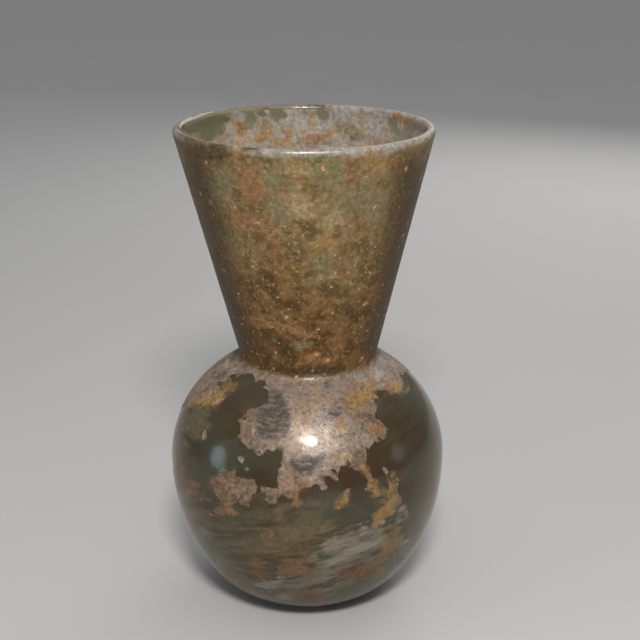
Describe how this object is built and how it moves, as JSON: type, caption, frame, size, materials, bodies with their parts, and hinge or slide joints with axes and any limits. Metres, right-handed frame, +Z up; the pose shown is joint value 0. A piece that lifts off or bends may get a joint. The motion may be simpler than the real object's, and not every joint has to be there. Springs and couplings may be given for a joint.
{
  "type": "roman glass unguentarium",
  "caption": "Free-blown glass flask with a globular body and a tall, wide funnel neck, stained and flaked by burial, for oils and perfume; it stands on its flattened base.",
  "frame": {"origin": "centre of the base ring, on the surface that the flask stands on", "axes": "+Z up along the flask's axis, -Y towards the side that the picture shows"},
  "size_m": [0.0692, 0.0692, 0.12],
  "materials": {
    "weathered_glass": "olive glass under brown soil and silvery, flaking weathering"
  },
  "bodies": {
    "root": {"glass_flask": "weathered_glass"}
  },
  "joints": []
}
